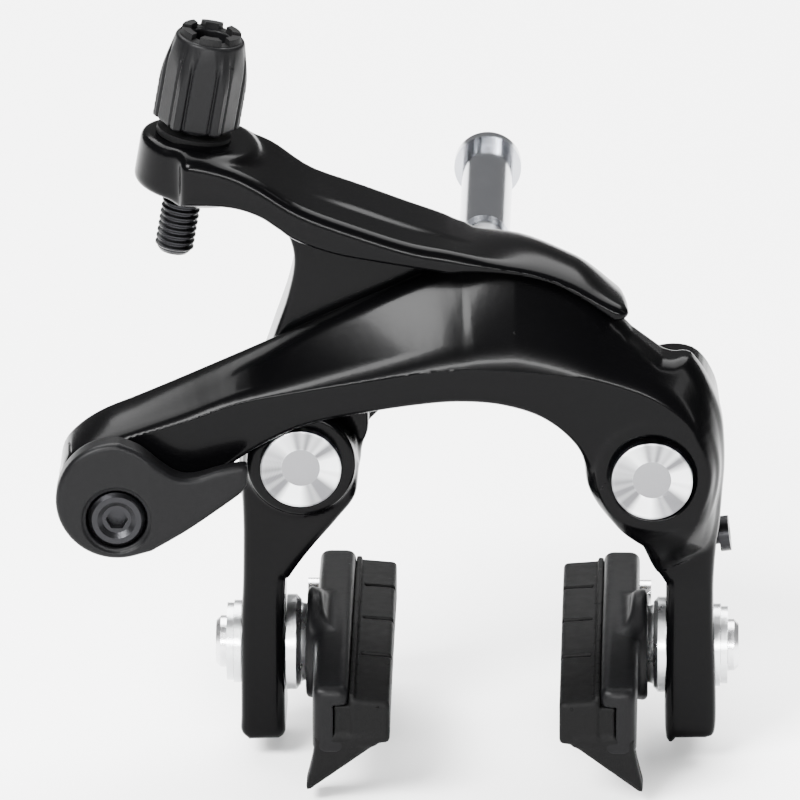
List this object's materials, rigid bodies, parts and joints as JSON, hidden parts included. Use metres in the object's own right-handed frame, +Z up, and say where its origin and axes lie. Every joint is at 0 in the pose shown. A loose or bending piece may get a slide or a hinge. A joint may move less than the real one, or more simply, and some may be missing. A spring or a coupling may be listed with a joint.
{
  "type": "rim brake caliper",
  "caption": "Dual-pivot rim brake caliper with two gloss black arms, quick release, barrel adjuster, cartridge shoes and a centre bolt with a recessed nut.",
  "frame": {"origin": "axis of the fixing bolt at the bracket's rear seat", "axes": "+X to the right as seen by someone facing the caliper, +Y towards the fork along the fixing bolt, +Z up"},
  "size_m": [0.1049, 0.1221, 0.1172],
  "materials": {
    "gloss_black": "deep gloss black over forged aluminium",
    "satin_black": "satin black anodised",
    "turned_aluminium": "lathe-turned, fine circular marks",
    "zinc_steel": "bright zinc plated",
    "stainless": "brushed stainless",
    "dark_chrome": "polished, dark",
    "blackened_steel": "black oxide",
    "bearing_bronze": "sintered bronze",
    "pad_rubber": "matt, moulded",
    "seal_rubber": "smooth",
    "black_plastic": "moulded, fine grain"
  },
  "bodies": {
    "mount": {"bracket": "satin_black", "fixing_bolt": "zinc_steel", "toothed_washer": "zinc_steel", "recessed_nut": "dark_chrome", "pivot_axles": "stainless", "pivot_caps": "turned_aluminium", "thrust_washers": "bearing_bronze", "return_spring": "stainless"},
    "front_arm": {"front_arm": "gloss_black", "front_arm_bush": "bearing_bronze", "link_plate": "stainless", "front_spring_guide": "black_plastic"},
    "rear_arm": {"rear_arm": "gloss_black", "rear_arm_bush": "bearing_bronze", "link_pin": "stainless", "rear_spring_guide": "black_plastic"},
    "link_roller": {"link_roller": "stainless"},
    "quick_release": {"quick_release_lever": "satin_black", "cable_anchor_bolt": "blackened_steel", "cable_clamp_plate": "zinc_steel", "cable_clamp_nut": "zinc_steel"},
    "adjuster_seat": {"adjuster_seal": "seal_rubber"},
    "adjuster": {"adjuster_barrel": "black_plastic", "adjuster_stem": "blackened_steel", "adjuster_top_ring": "black_plastic"},
    "centring_screw": {"centring_screw": "blackened_steel"},
    "left_shoe": {"left_shoe_holder": "satin_black", "left_brake_pad": "pad_rubber", "left_pad_bolt": "stainless", "left_outer_washers": "zinc_steel", "left_conical_washer": "zinc_steel", "left_domed_washer": "zinc_steel", "left_pad_screw": "stainless"},
    "right_shoe": {"right_shoe_holder": "satin_black", "right_brake_pad": "pad_rubber", "right_pad_bolt": "stainless", "right_outer_washers": "zinc_steel", "right_conical_washer": "zinc_steel", "right_domed_washer": "zinc_steel", "right_pad_screw": "stainless"}
  },
  "joints": [
    {"name": "front_arm_pivot", "type": "hinge", "parent": "mount", "child": "front_arm", "pos_m": [0.027, -0.02, -0.012], "axis": [0, 1, 0], "range_deg": [0, 8], "stiffness_Nm_per_rad": 0.5, "springref_deg": -28.65, "deforming": ["return_spring"]},
    {"name": "rear_arm_pivot", "type": "hinge", "parent": "mount", "child": "rear_arm", "pos_m": [-0.027, -0.02, -0.012], "axis": [0, 1, 0], "range_deg": [-8, 0], "stiffness_Nm_per_rad": 0.5, "springref_deg": 28.65, "deforming": ["return_spring"]},
    {"name": "link_roll", "type": "hinge", "parent": "rear_arm", "child": "link_roller", "pos_m": [0.02086, -0.0261, 0.01376], "axis": [0, 1, 0], "continuous": true},
    {"name": "quick_release_turn", "type": "hinge", "parent": "front_arm", "child": "quick_release", "pos_m": [-0.055, -0.03, -0.0143], "axis": [0, 1, 0], "range_deg": [0, 90]},
    {"name": "adjuster_rise", "type": "slide", "parent": "rear_arm", "child": "adjuster_seat", "axis": [0.1668, 0, 0.986], "range_m": [0, 0.004]},
    {"name": "adjuster_turn", "type": "hinge", "parent": "adjuster_seat", "child": "adjuster", "pos_m": [-0.0444, -0.022, 0.034], "axis": [0.1668, 0, 0.986], "range_deg": [0, 1441]},
    {"name": "centring_turn", "type": "hinge", "parent": "front_arm", "child": "centring_screw", "pos_m": [0.028, -0.02, -0.0278], "axis": [0.9925, 0, 0.1219], "range_deg": [-180, 180]},
    {"name": "left_shoe_height", "type": "slide", "parent": "rear_arm", "child": "left_shoe", "axis": [0, 0, 1], "range_m": [-0.0038, 0.0038]},
    {"name": "right_shoe_height", "type": "slide", "parent": "front_arm", "child": "right_shoe", "axis": [0, 0, 1], "range_m": [-0.0038, 0.0038]}
  ],
  "couplings": [
    {"joint": "rear_arm_pivot", "follows": "front_arm_pivot", "ratio": -1},
    {"joint": "adjuster_turn", "follows": "adjuster_rise", "rad_per_m": 6283.2}
  ]
}
